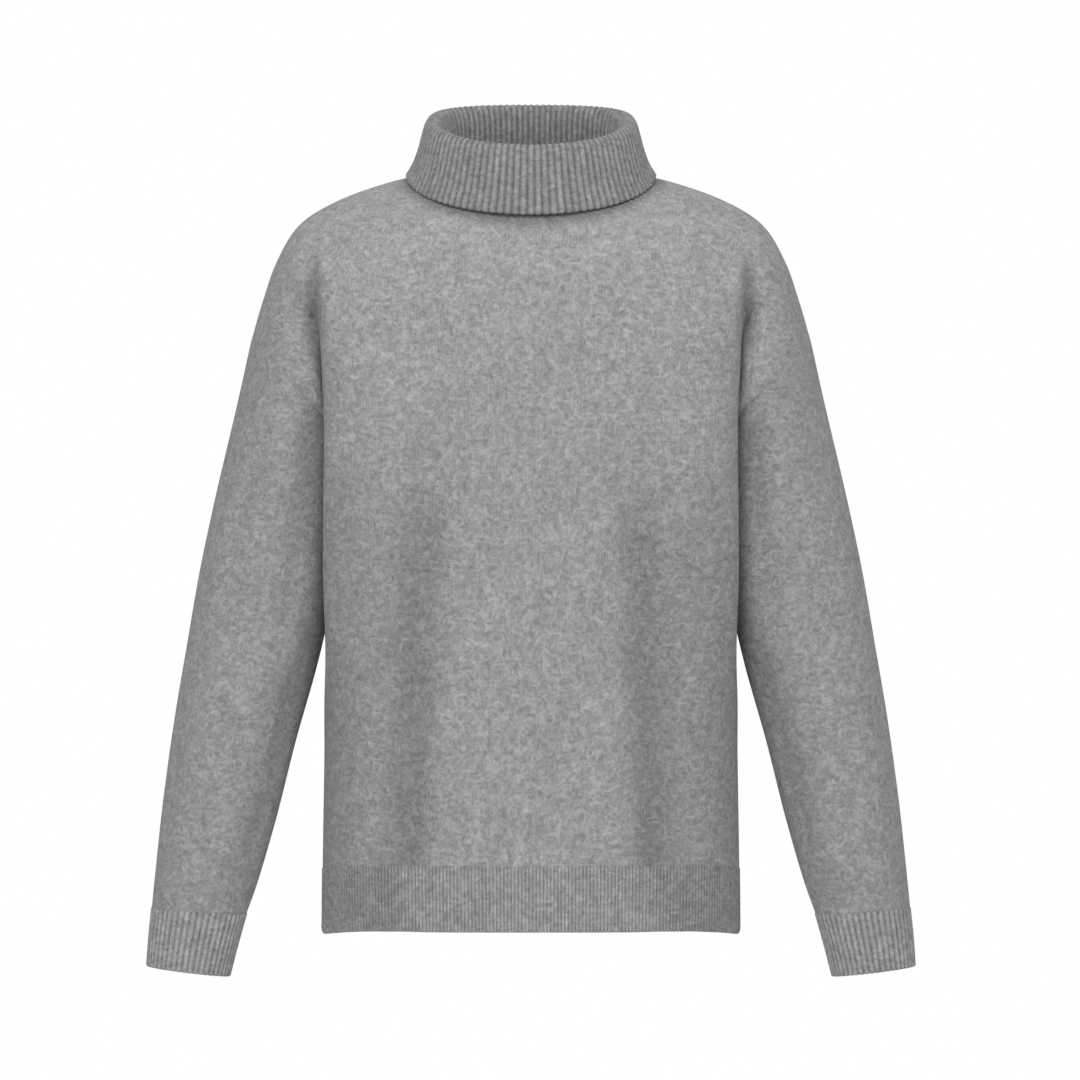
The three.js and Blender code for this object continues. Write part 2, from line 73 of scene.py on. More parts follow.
# The armhole is an ellipse from the underarm up to the point where the shoulder seam ends.
UNDERARM = np.array((163.0, 0.0, -220.0))
SHOULDER_END = np.array((241.5, 0.0, -142.0))
ARMHOLE_DEPTH = 75
SHOULDER_FACING = (0.93, 0.37)  # the way the cloth faces at the armhole's top, out and up
UNDERARM_FACING = (-0.25, -0.97)  # and at its foot

# Horizontal sections of the body. half is the half width, front and back the depths at the centre,
# square how boxy the section is, dent how far the arm presses the side seam in, and reach how far
# that spreads.
TORSO = [
    {"z": -650, "half": 180, "front": 110, "back": 100, "square": 2.7, "dent": 0, "reach": 45},
    {"z": -595, "half": 179.5, "front": 113, "back": 102, "square": 2.7, "dent": 0, "reach": 45},
    {"z": -500, "half": 178, "front": 116, "back": 105, "square": 2.7, "dent": 0, "reach": 45},
    {"z": -430, "half": 182, "front": 118, "back": 108, "square": 2.8, "dent": 5, "reach": 45},
    {"z": -360, "half": 186.5, "front": 121, "back": 110, "square": 3.1, "dent": 19, "reach": 46},
    {"z": -300, "half": 190, "front": 123.5, "back": 112, "square": 3.4, "dent": 31, "reach": 55},
    {"z": -250, "half": 192.5, "front": 125, "back": 113, "square": 3.6, "dent": 35, "reach": 63},
    {"z": -220, "half": 194.5, "front": 125.5, "back": 113, "square": 3.6, "dent": 31.5, "reach": 69},
]

# The neckline seen from above, and the collar's cloth up the inside, over the rim and down the outside.
NECKLINE = {"half": 78, "front": 79, "back": 60}
COLLAR = [
    {"half": 76.8, "front": 78, "back": 59, "zFront": -26, "zSide": 6.6, "zBack": 7.2},
    {"half": 75, "front": 72.5, "back": 57, "zFront": -8, "zSide": 22, "zBack": 27},
    {"half": 76.5, "front": 67, "back": 57.5, "zFront": 7.5, "zSide": 36, "zBack": 48},
    {"half": 80, "front": 67, "back": 60.5, "zFront": 19, "zSide": 46, "zBack": 60.5},
    {"half": 85, "front": 71, "back": 65, "zFront": 24, "zSide": 50, "zBack": 64.5},
    {"half": 89, "front": 76, "back": 69.5, "zFront": 20.5, "zSide": 45.5, "zBack": 60},
    {"half": 92, "front": 80, "back": 73, "zFront": 9, "zSide": 35, "zBack": 47},
    {"half": 95, "front": 83.5, "back": 76, "zFront": -4.5, "zSide": 24, "zBack": 33},
    {"half": 99.5, "front": 87.5, "back": 79, "zFront": -19, "zSide": 12, "zBack": 18},
    {"half": 105.5, "front": 92, "back": 83, "zFront": -33.5, "zSide": 2, "zBack": 4.5},
]
NECK_SQUARE = {"front": 2, "back": 2.8}  # how boxy the neckline and the collar's rings are
LOWEST_NECK_RISE = 0.3  # where the search for the neckline up a column begins
NECK_HALVINGS = 30  # how often that search halves its range

# The shoulder seam from the neck point out and down over the upper arm.
# Its first two rows lie inside the neck opening and only steer the cloth round it.
SHOULDER = [
    {"x": 0, "z": 14},
    {"x": 40, "z": 11.5},
    {"x": 78, "z": 4.5},
    {"x": 120, "z": -3.5},
    {"x": 165, "z": -19},
    {"x": 199, "z": -40},
    {"x": 218.5, "z": -71},
    {"x": 231, "z": -106},
    {"x": 241.5, "z": -142},
]

# Pulls on the columns of a panel above the underarm, at its centre and towards the arm: rise is upwards
# at the underarm, over is back or forth across the shoulder, and tilt how steeply it climbs there.
PULLS = {
    "front": {"rise": (622, 300), "over": (267, 230), "tilt": (0.568, 0)},
    "back": {"rise": (480, 300), "over": (262, 230), "tilt": (-0.25, 0)},
}
ARMPIT_PULL = 300  # pull towards the front or back along the armhole at the underarm
ARM_PART = 0.8  # share of a half panel from which its columns turn to the armhole
PULL_IN_PART = 0.55  # share of it from which they are drawn in to the armhole's seam

# Sleeve and cuff rings: where each meets the outline outside and inside, its half depth and its middle's y.
SLEEVE = [
    {"outX": 241.5, "outZ": -142, "inX": 163, "inZ": -220, "depth": 75, "y": 0},
    {"outX": 253.5, "outZ": -196, "inX": 165, "inZ": -262, "depth": 74.5, "y": 3},
    {"outX": 271, "outZ": -270, "inX": 166.5, "inZ": -316, "depth": 72, "y": 4},
    {"outX": 285.5, "outZ": -338, "inX": 172.5, "inZ": -367, "depth": 68, "y": 3},
    {"outX": 297, "outZ": -405, "inX": 184.5, "inZ": -421, "depth": 63, "y": 0},
    {"outX": 308, "outZ": -471, "inX": 202.5, "inZ": -485, "depth": 58, "y": -4},
    {"outX": 317, "outZ": -538, "inX": 218.5, "inZ": -549, "depth": 52, "y": -11},
    {"outX": 323, "outZ": -596, "inX": 234, "inZ": -603, "depth": 46, "y": -17},
    {"outX": 326, "outZ": -628, "inX": 244.5, "inZ": -633, "depth": 42, "y": -20},
]
CUFF = [
    {"outX": 326, "outZ": -628, "inX": 244.5, "inZ": -633, "depth": 42, "y": -20},
    {"outX": 328.5, "outZ": -654, "inX": 252, "inZ": -660, "depth": 38, "y": -23},
    {"outX": 330, "outZ": -676.5, "inX": 258.5, "inZ": -685.5, "depth": 36, "y": -26},
]

# Soft upright folds in the body: the panel, the place across at the top and at the foot, the heights
# of both ends, the half widths towards the centre and the arm, the depth, and the length over which
# each end dies away. A negative depth is a ridge.
FOLDS = [
    {"side": -1, "across": (-75, -117), "ends": (-170, -800), "widths": (14, 26), "depth": 8, "fade": 150},
    {"side": -1, "across": (79, 116), "ends": (-175, -800), "widths": (14, 26), "depth": 8, "fade": 150},
    {"side": -1, "across": (-142, -148), "ends": (-330, -700), "widths": (20, 20), "depth": -2.5, "fade": 90},
    {"side": -1, "across": (144, 150), "ends": (-350, -700), "widths": (20, 20), "depth": -2.5, "fade": 90},
    {"side": -1, "across": (-185, -183), "ends": (-56, -168), "widths": (4, 10), "depth": 9, "fade": 34},
    {"side": -1, "across": (187, 181), "ends": (-56, -168), "widths": (4, 10), "depth": 9, "fade": 34},
    {"side": -1, "across": (-205, -205), "ends": (-30, -190), "widths": (15, 18), "depth": -5, "fade": 60},
    {"side": -1, "across": (203, 204), "ends": (-30, -190), "widths": (15, 18), "depth": -5, "fade": 60},
    {"side": 1, "across": (-66, -84), "ends": (-180, -800), "widths": (26, 26), "depth": 6, "fade": 150},
    {"side": 1, "across": (60, 88), "ends": (-220, -800), "widths": (24, 24), "depth": 5.5, "fade": 150},
    {"side": 1, "across": (-184, -181), "ends": (-80, -240), "widths": (6, 15), "depth": 9, "fade": 45},
    {"side": 1, "across": (184, 180), "ends": (-80, -240), "widths": (6, 15), "depth": 9, "fade": 45},
]
SEAM_HOLD = 0.9  # share of a half panel from which the folds spare the side seam
SHOULDER_HOLD = 0.75  # share of the rise to the shoulder seam from which they spare that

# Where the valley between body and upper arm is drawn in towards the body, and how far.
VALLEY = {"x": 195, "z": -136, "width": 13, "height": 42, "shift": 9.5}

# Folds along a sleeve: the angle round it (0 inside, 90 front, 180 outside), the shares of its
# length where it begins and ends, the half width in degrees, the depth, and the turn along it.
SLEEVE_FOLDS = [
    {"angle": 60, "from": -0.1, "to": 0.5, "width": 16, "depth": 4, "turn": 12},
    {"angle": 112, "from": 0.1, "to": 0.62, "width": 20, "depth": 2.5, "turn": -10},
    {"angle": 35, "from": 0.4, "to": 0.95, "width": 17, "depth": 3.5, "turn": 15},
    {"angle": 150, "from": 0.55, "to": 1, "width": 18, "depth": 2.2, "turn": -8},
    {"angle": 240, "from": 0.15, "to": 0.7, "width": 22, "depth": 3, "turn": 14},
    {"angle": 300, "from": 0.3, "to": 0.95, "width": 18, "depth": 3.5, "turn": -12},
]
SLEEVE_FADE = 0.16  # share of a sleeve's length over which an end of a fold dies away
SLEEVE_HEAD = 0.1  # share of it, at the armhole, over which the folds begin

# Painted shade on the flanks beside the arms and in the folds: where the flanks begin and end across and
# how softly, where they begin down the body, and the shares of light painted away on them and in a deep fold.
PAINTED_FLANK_SHADE = {
    "inner": 78, "ease_in": 24, "outer": 165, "ease_out": 30, "top": -200, "fade": 130,
    "shade": 0.1, "fold": 0.27,
}
DEEP_FOLD = 10  # the depth from which a fold gets all of its painted shade
PAINTED_HEM_SHADE = {"from": 0.35, "ease": 0.2, "shade": 0.36}  # painted shade on the hem's sides, by its share from the middle
PAINTED_ARM_SHADE = 0.05  # painted shade on the arms
ARM_EDGE, ARM_EASE = 188, 16  # where the arms' painted shade begins on a panel, and how softly

# Painted shade at the upper end of the crease between body and arm: where it begins across and ends below,
# how softly, and how dark it is painted.
PAINTED_CREASE_SHADE = {"inner": 166, "ease": 8, "foot": -140, "fade": 28, "shade": 0.38}

# A shadow painted on the cloth beside the collar's lower edge, in sizes of the collar's last ring: where it
# begins, how wide it is, and the share of light that it paints away.
PAINTED_COLLAR_SHADOW = {"from": 1.01, "width": 0.13, "shade": 0.42}

# The features of the knit: a stroke's breadth and length, and the breadth of each other one.
GRAIN = {
    "stroke": 3.3, "stroke_length": 7.5, "swap": 9, "fleck": 4.4, "speck": 1.7,
    "light_loop": 9, "dark_loop": 7.5, "loop_patch": 9, "patch": 17, "cloud": 42,
    "wale": 2.5, "wale_patch": 22, "wobble": 7, "fuzz": 0.7,
}
LEVEL_STROKES = 0.0009  # how fast upright strokes give way to level ones, for each mm from the middle

# How finely each piece is divided.
BODY_COLUMNS = 200
CHEST_Z, BELOW = -60, 30  # the middle that the panels face away from: at most this high, and this much lower
NECK_PART = 0.3  # part of a half panel's columns that end at the neckline
BODY_ROWS_LOW = 90
BODY_ROWS_HIGH = 110
SLEEVE_ROUND = 128
SLEEVE_ROWS = 130
COLLAR_ROWS = 60
HEM_ROWS = 12
CUFF_ROWS = 14
EDGE_ROWS = 4  # rows that turn a free edge round

# The map "OFBake": its span across, and the bands along it of the outer face, the inner face and the edges.
BAKE_ACROSS = (0.01, 0.99)
BAKE_OUTER = (0.01, 0.69)
BAKE_INNER = (0.73, 0.99)
BAKE_EDGES = (0.695, 0.704, 0.713, 0.722)
BAKE_EDGE_HEIGHT = 0.006

# The size each piece is knitted to, across and along, and the share of that which is cloth.
SHEETS = {
    "panel": ((500, 640), 0.9),
    "hem": ((500, HEM_BAND), 1.0),
    "sleeve": ((430, 480), 0.85),
    "cuff": ((250, CUFF_BAND), 1.0),
    "collar": ((580, 115), 0.95),
}
KNIT_ACROSS = {"body": 500, "sleeve": 420, "cuff": 230, "collar": 560}  # how wide the map "Knit" is laid

# The camera stands far off, level with the middle of the photo.
PHOTO_SIZE = 1080
PHOTO_MM = 0.862  # one pixel of the photo at the side seams
PHOTO_CENTRE_X = 531  # the garment's middle
PHOTO_NECK_Y = 178  # the neck points
LENS = 300
SENSOR = 36

# The studio, in metres and watts.
FLOOR_Z = -1.42  # the floor under a standing wearer
FLOOR_REACH = 2.6
FLOOR_SHADE = (0.9, 0.9, 0.9)
WORLD_CAST = 0.44  # how strongly the white surroundings light the cloth
LAMPS = [
    {"name": "key", "place": (0.25, -2.0, 2.6), "aim": (0, 0, -0.3), "size": (2.0, 1.4), "power": 58},
    {"name": "fill", "place": (-0.75, -3.2, -0.2), "aim": (0, 0, -0.35), "size": (2.0, 2.4), "power": 25},
]


# Numbers and curves

def smooth(t):
    t = np.clip(t, 0, 1)
    return t * t * (3 - 2 * t)


def mix(a, b, t):
    return a + (b - a) * t


def hermite(a, slope_a, b, slope_b, t):
    """Cubic between two values with their slopes."""
    t2 = t * t
    t3 = t2 * t
    from_a = (2 * t3 - 3 * t2 + 1) * a + (t3 - 2 * t2 + t) * slope_a
    return from_a + (3 * t2 - 2 * t3) * b + (t3 - t2) * slope_b


def column(keys, values, at):
    """A smooth curve through the values at the keys."""
    last = len(keys) - 1
    i = np.searchsorted(keys[1:last], at, side="left")
    after = np.minimum(np.arange(last + 1) + 1, last)
    before = np.maximum(np.arange(last + 1) - 1, 0)
    slopes = (values[after] - values[before]) / (keys[after] - keys[before])
    span = keys[i + 1] - keys[i]
    t = (at - keys[i]) / span
    return hermite(values[i], slopes[i] * span, values[i + 1], slopes[i + 1] * span, t)


def rows_at(table, at, key=None):
    """Every column of a table at some places, which count rows unless a key column is named."""
    keys = np.array([row[key] for row in table], float) if key else np.arange(len(table), dtype=float)
    at = np.asarray(at, float)
    return {name: column(keys, np.array([row[name] for row in table], float), at) for name in table[0]}


def evenly(points, shares):
    """Points at shares of the length of a finely drawn line."""
    steps = np.linalg.norm(np.diff(points, axis=0), axis=1)
    reach = np.concatenate(([0], np.cumsum(steps)))
    want = np.clip(shares, 0, 1) * reach[-1]
    return np.stack([np.interp(want, reach, points[:, k]) for k in range(3)], axis=-1)


FINE = np.linspace(0, 1, 321)


# Body sections and outlines

def torso_ring(z, shares, side):
    """Points of a body section, from a side seam (-1) over the centre (0) to the other (1)."""
    size = {name: float(value) for name, value in rows_at(TORSO, z, "z").items()}
    power = 2 / size["square"]
    angle = FINE * math.pi / 2
    y = side * (size["front"] if side < 0 else size["back"]) * np.cos(angle) ** power
    pressed = size["dent"] * np.exp(-np.abs(y / size["reach"]) ** 3)
    x = np.maximum(0, size["half"] * np.sin(angle) ** power - pressed)
    points = evenly(np.stack([x, y, np.full_like(x, z)], axis=-1), np.abs(shares))
    points[:, 0] *= np.sign(shares)
    return points


def neck_ring(ring, angle):
    """A ring round the neck, at angles in degrees from the centre front (0) to the centre back (180)."""
    back = angle > 90
    power = np.where(back, 2 / NECK_SQUARE["back"], 2 / NECK_SQUARE["front"])
    radians = np.radians(angle)
    across = np.abs(np.sin(radians)) ** power
    along = np.abs(np.cos(radians)) ** power
    y = np.where(back, ring["back"] * along, -ring["front"] * along)
    z = mix(ring["zSide"], np.where(back, ring["zBack"], ring["zFront"]), along)
    return np.stack([ring["half"] * across, y, z], axis=-1)


def shoulder_line(shares):
    """Points of the shoulder seam's line, at shares of its length from the body's middle."""
    seam = rows_at(SHOULDER, FINE * (len(SHOULDER) - 1))
    return evenly(np.stack([seam["x"], np.zeros_like(FINE), seam["z"]], axis=-1), shares)


NECK_SHARE = float(np.interp(NECKLINE["half"], shoulder_line(FINE)[:, 0], FINE))  # the neck point's share


def armhole(t):
    """The front half of the armhole, from the underarm (0) to the shoulder (1)."""
    points = mix(UNDERARM, SHOULDER_END, ((1 - np.cos(math.pi * t)) / 2)[..., None])
    points[..., 1] -= ARMHOLE_DEPTH * np.sin(math.pi * t)
    return points


def upper_columns(s, rises, side):
    """Points above the underarm: each column is a cubic from the underarm's level over the shoulder."""
    pulls = PULLS["front" if side < 0 else "back"]
    rise, over, tilt = (mix(*pulls[name], smooth(s / ARM_PART)) for name in ("rise", "over", "tilt"))
    low = torso_ring(UNDERARM[2], s, side)
    along = low - torso_ring(UNDERARM[2] - 1, s, side)
    armpit = smooth((s - ARM_PART) / (1 - ARM_PART))[:, None]
    low_end = np.array((0, side * ARMPIT_PULL, 0))
    top_end = np.array((0, -side * pulls["over"][1], 0))
    low_pull = along * rise[:, None] * (1 - armpit) + low_end * armpit
    top_pull = np.stack([0 * s, -side * over, tilt * over], axis=-1)
    t = rises[..., None]
    seam = armhole(rises)
    seam[..., 1] *= -side
    edge = hermite(UNDERARM, low_end, SHOULDER_END, top_end, t)
    pull_in = smooth((s - PULL_IN_PART) / (1 - PULL_IN_PART))[:, None]
    return hermite(low, low_pull, shoulder_line(s), top_pull, t) + (seam - edge) * pull_in


def neck_rise(s, side):
    """How far up its column each share meets the neckline, or 1 where it ends at the shoulder seam."""
    name = "front" if side < 0 else "back"
    power = NECK_SQUARE[name]
    low, high = np.full_like(s, LOWEST_NECK_RISE), np.ones_like(s)
    for _ in range(NECK_HALVINGS):
        middle = (low + high) / 2
        x, y = np.moveaxis(upper_columns(s, middle, side), -1, 0)[:2]
        outside = np.abs(x / NECKLINE["half"]) ** power + np.abs(y / NECKLINE[name]) ** power > 1
        low, high = np.where(outside, middle, low), np.where(outside, high, middle)
    return np.where(s < NECK_SHARE, high, 1)


def upper_rows(shares, rises, side):
    """Rows of points from the underarm's level up to the shoulder seam or the neckline."""
    s = np.abs(shares)
    end = neck_rise(s, side)
    points = np.array([upper_columns(s, rise * end, side) for rise in rises])
    points[:, :, 0] *= np.where(shares < 0, -1, 1)
    return points


def column_shares():
    """Each column's share of a panel's half width. Those below the neck crowd towards the neck point."""
    u = np.linspace(-1, 1, BODY_COLUMNS + 1)
    neck = NECK_SHARE * np.sin(np.abs(u) / NECK_PART * math.pi / 2)
    arm = mix(NECK_SHARE, 1, (np.abs(u) - NECK_PART) / (1 - NECK_PART))
    return np.where(np.abs(u) < NECK_PART, neck, arm) * np.sign(u)


def fold_depth(x, z, side):
    """How far the soft folds press a point of the body in."""
    depth = np.zeros_like(x)
    for fold in FOLDS:
        if fold["side"] != side:
            continue
        (at_top, at_foot), (top, foot), (inner, outer) = fold["across"], fold["ends"], fold["widths"]
        along = np.clip((z - top) / (foot - top), 0, 1)
        away = (x - mix(at_top, at_foot, along)) * np.sign(at_top)
        across = away / np.where(away < 0, inner, outer)
        fade = smooth((top - z) / fold["fade"]) * smooth((z - foot) / fold["fade"])
        depth += fold["depth"] * fade * np.exp(-across**2)
    return depth


def fold_body(points, shares, side):
    """Presses the folds into a grid of body points and leaves its side and shoulder seams alone."""
    hold = np.tile(1 - smooth((np.abs(shares) - SEAM_HOLD) / (1 - SEAM_HOLD)), (len(points), 1))
    if len(points) > BODY_ROWS_HIGH:
        rises = np.linspace(0, 1, BODY_ROWS_HIGH + 1)
        hold[-len(rises):] *= (1 - smooth((rises - SHOULDER_HOLD) / (1 - SHOULDER_HOLD)))[:, None]
    across = (np.abs(points[:, :, 0]) - VALLEY["x"]) / VALLEY["width"]
    up = (points[:, :, 2] - VALLEY["z"]) / VALLEY["height"]
    points[:, :, 0] -= np.sign(shares) * VALLEY["shift"] * np.exp(-across**2 - up**2) * hold
    points[:, :, 1] -= side * fold_depth(points[:, :, 0], points[:, :, 2], side) * hold
    return points


def hem_line(shares, side, above):
    """The height of a line round the body, above the hem's edge, which rounds up at the side seams."""
    sideways = np.abs(shares)
    lift = HEM_LIFT * (1 - smooth((sideways - HEM_LEVEL_PART) / (1 - HEM_LEVEL_PART))) if side < 0 else 0
    corner = HEM_CORNER * smooth((sideways - HEM_CORNER_PART) / (1 - HEM_CORNER_PART))
    return HEM_Z + above + lift + (0 if above > 0 else corner)


# Building shells

def facing(grid, closed):
    """The way each point of a grid of points faces, by its neighbours."""
    if closed:
        across = np.roll(grid, -1, axis=1) - np.roll(grid, 1, axis=1)
    else:
        across = np.gradient(grid, axis=1)
    along = np.gradient(grid, axis=0)
    normal = np.cross(along, across)
    return normal / np.maximum(np.linalg.norm(normal, axis=2, keepdims=True), 1e-9)


def away_from(normals, grid, middle):
    """The same normals, turned away from a middle point of each row."""
    sign = np.sign(np.sum(normals * (grid - middle), axis=2, keepdims=True))
    return normals * np.where(sign == 0, 1, sign)


def knit_lengths(grid):
    """Each point's distance along its column from the first row."""
    steps = np.linalg.norm(np.diff(grid, axis=0), axis=2)
    return np.concatenate([np.zeros((1, grid.shape[1])), np.cumsum(steps, axis=0)])


def rounded(outer, inner, first):
    """Rows that turn an outer face round to an inner one at its first or last row."""
    end = 0 if first else -1
    beside = 1 if first else -2
    middle = (outer[end] + inner[end]) / 2
    half = (outer[end] - inner[end]) / 2
    away = outer[end] - outer[beside]
    away /= np.linalg.norm(away, axis=1, keepdims=True)
    reach = np.linalg.norm(half, axis=1, keepdims=True)
    rows = []
    for k in range(1, EDGE_ROWS + 1):
        turn = math.pi * k / (EDGE_ROWS + 1)
        rows.append(middle + half * math.cos(turn) + away * reach * math.sin(turn))
    rows = np.array(rows)
    return rows[::-1] if first else rows


def strip(faces, corners, ids_a, ids_b, uv_a, uv_b):
    """Joins two rows of points, which may differ in number, with triangles."""
    count_a = len(ids_a) - 1
    count_b = len(ids_b) - 1
    i = j = 0
    while i < count_a or j < count_b:
        if j >= count_b or (i < count_a and (i + 1) / count_a <= (j + 1) / count_b + 1e-9):
            faces.append((ids_a[i], ids_a[i + 1], ids_b[j]))
            corners += [uv_a[i], uv_a[i + 1], uv_b[j]]
            i += 1
        else:
            faces.append((ids_a[i], ids_b[j + 1], ids_b[j]))
            corners += [uv_a[i], uv_b[j + 1], uv_b[j]]
            j += 1


def volume(vertices, faces):
    """Six times the volume that the faces close in, below zero if they face inwards."""
    total = 0
    for size in (3, 4):
        some = np.array([face for face in faces if len(face) == size])
        for k in range(2, size):
            a, b, c = vertices[some[:, 0]], vertices[some[:, k - 1]], vertices[some[:, k]]
            total += np.sum(a * np.cross(b, c))
    return total


def sharpen(mesh, border):
    """Marks the edges that run along the border, so that the outer face keeps its shading up to a seam."""
    ends = np.zeros(len(mesh.edges) * 2, int)
    mesh.edges.foreach_get("vertices", ends)
    sharp = border[ends.reshape(-1, 2)].all(axis=1)
    mesh.attributes.new("sharp_edge", "BOOLEAN", "EDGE").data.foreach_set("value", sharp)


def spread(grid, count, closed):
    """The same rows of points with count points in each."""
    have = grid.shape[1]
    pick = np.linspace(0, have if closed else have - 1, count, endpoint=not closed)
    low = np.floor(pick).astype(int)
    after = (low + 1) % have if closed else np.minimum(low + 1, have - 1)
    part = (pick - low)[None, :, None]
    return grid[:, low] * (1 - part) + grid[:, after] * part


def map_places(grid, closed, width, band):
    """Each point's place in the map "Knit", in metres, and in its face's band of the map "OFBake"."""
    along = knit_lengths(grid)
    if closed:
        along = np.hstack([along, along[:, :1]])
    columns = along.shape[1]
    places = np.linspace(0, width, columns) if np.isscalar(width) else width[:: len(width) // columns]
    uv = np.zeros((*along.shape, 4))
    uv[:, :, 0] = places[None, :columns] * MM
    uv[:, :, 1] = along * MM
    uv[:, :, 2] = np.linspace(*BAKE_ACROSS, columns)[None, :]
    uv[:, :, 3] = mix(*band, along.mean(axis=1) / along[-1].mean())[:, None]
    return uv


def quad_corners(grid, backwards):
    """What a grid holds at the four corners of each of its quads, one row for each quad."""
    corners = [grid[:-1, :-1], grid[:-1, 1:], grid[1:, 1:], grid[1:, :-1]]
    corners = corners[::-1] if backwards else corners
    return np.stack([corner.reshape(-1, *grid.shape[2:]) for corner in corners], axis=1)


def shell(name, outer, inner, closed, width, free_ends=(False, False), hand=1):
    """A thin closed shell between an outer grid and a coarser inner one, both rows of points from end to end.
    width is the knitted width across all columns, or the place of each column of the outer grid."""
    dense_inner = inner if inner.shape[1] == outer.shape[1] else spread(inner, outer.shape[1], closed)
    parts = [outer]
    if free_ends[0]:
        parts.insert(0, rounded(outer, dense_inner, True))
    if free_ends[1]:
        parts.append(rounded(outer, dense_inner, False))
    outer = np.concatenate(parts)
    vertices = np.concatenate([outer.reshape(-1, 3), inner.reshape(-1, 3)]) * MM
    vertices[:, 0] *= hand
    faces = []
    corners = []
    grids = []
    first = 0
    for grid, band in ((outer, BAKE_OUTER), (inner, BAKE_INNER)):
        rows, cols = grid.shape[:2]
        ids = first + np.arange(rows * cols).reshape(rows, cols)
        first += rows * cols
        if closed:
            ids = np.hstack([ids, ids[:, :1]])
        grids.append((ids, map_places(grid, closed, width, band)))
    for (ids, uv), backwards in zip(grids, (False, True)):
        faces += [tuple(quad) for quad in quad_corners(ids, backwards).tolist()]
        corners += quad_corners(uv, backwards).reshape(-1, 4).tolist()
    (out_ids, out_uv), (in_ids, in_uv) = grids

    def edge(ids_a, ids_b, uv_a, uv_b, level):
        """Closes one edge of the shell and gives it a strip of its own in the map "OFBake"."""
        bake_a = uv_a.copy()
        bake_b = uv_b.copy()
        bake_b[:, :2] = uv_a[np.linspace(0, len(uv_a) - 1, len(uv_b)).astype(int), :2]
        for part, height in ((bake_a, level), (bake_b, level + BAKE_EDGE_HEIGHT)):
            part[:, 2] = np.linspace(*BAKE_ACROSS, len(part))
            part[:, 3] = height
        strip(faces, corners, ids_a.tolist(), ids_b.tolist(), bake_a.tolist(), bake_b.tolist())

    edge(in_ids[0], out_ids[0], in_uv[0], out_uv[0], BAKE_EDGES[0])
    edge(out_ids[-1], in_ids[-1], out_uv[-1], in_uv[-1], BAKE_EDGES[1])
    if not closed:
        edge(out_ids[:, 0], in_ids[:, 0], out_uv[:, 0], in_uv[:, 0], BAKE_EDGES[2])
        edge(in_ids[:, -1], out_ids[:, -1], in_uv[:, -1], out_uv[:, -1], BAKE_EDGES[3])
    seams = [out_ids[end] for end, free in zip((0, -1), free_ends) if not free]
    seams += [] if closed else [out_ids[:, 0], out_ids[:, -1]]
    border = np.zeros(len(vertices), bool)
    border[np.concatenate(seams)] = True
    corners = np.array(corners)
    if volume(vertices, faces) < 0:
        starts = np.concatenate(([0], np.cumsum([len(face) for face in faces])))
        corners = corners[np.concatenate([np.arange(b, a, -1) - 1 for a, b in zip(starts, starts[1:])])]
        faces = [face[::-1] for face in faces]
    mesh = bpy.data.meshes.new(name)
    mesh.from_pydata(vertices.tolist(), [], faces)
    for layer, part in (("Knit", corners[:, :2]), ("OFBake", corners[:, 2:])):
        mesh.uv_layers.new(name=layer).data.foreach_set("uv", part.ravel())
    mesh.shade_smooth()
    sharpen(mesh, border)
    piece = bpy.data.objects.new(name, mesh)
    bpy.context.scene.collection.objects.link(piece)
    return piece


def rib_height(phase):
    """A rib's height from 0 to 1: a round ridge with a narrow groove between it and the next."""
    return np.abs(np.cos(math.pi * phase)) ** RIB_ROUNDNESS


# The pieces

def armhole_facing(degrees):
    """The way the cloth faces along the armhole, shared by the body and the sleeve."""
    radians = np.radians(degrees)
    up = np.maximum(0, -np.cos(radians))
    down = np.maximum(0, np.cos(radians))
    sideways, upwards = (SHOULDER_FACING[k] * up + UNDERARM_FACING[k] * down for k in range(2))
    out = np.stack([sideways, -np.sin(radians), upwards], axis=-1)
    return out / np.linalg.norm(out, axis=-1, keepdims=True)


def panel(name, side):
    """The front (-1) or back (1) of the body, from the hem band up to the shoulder seams and the neckline."""
    shares = column_shares()
    band = hem_line(shares, side, HEM_BAND)
    low = []
    for v in np.linspace(0, 1, BODY_ROWS_LOW + 1):
        row = torso_ring(mix(HEM_Z + HEM_BAND, UNDERARM[2], v), shares, side)
        row[:, 2] = mix(band, UNDERARM[2], v)
        low.append(row)
    rises = np.linspace(0, 1, BODY_ROWS_HIGH + 1)
    outer = np.concatenate([np.array(low), upper_rows(shares, rises, side)[1:]])
    outer = fold_body(outer, shares, side)
    middle = np.zeros((len(outer), 1, 3))
    middle[:, 0, 2] = np.minimum(outer[:, BODY_COLUMNS // 2, 2], CHEST_Z) - BELOW
    out = away_from(facing(outer, False), outer, middle)
    hole = armhole_facing(180 * rises)
    hole[:, 1] *= -side
    for end, sign in ((0, -1), (-1, 1)):
        out[: BODY_ROWS_LOW, end] = (sign, 0, 0)
        out[BODY_ROWS_LOW:, end] = hole * (sign, 1, 1)
    out[-1, :, 1] = 0
    out[-1, np.abs(shares) < NECK_SHARE] = (0, 0, 1)
    out /= np.linalg.norm(out, axis=2, keepdims=True)
    inner = (outer - out * KNIT)[::2, ::2]
    piece = shell(name, outer, inner, False, (shares + 1) / 2 * KNIT_ACROSS["body"])
    # Painted shade in the folds, on the flanks and by the arms, and a painted shadow under the collar.
    paint_fold_shade(piece, outer, side)
    return piece


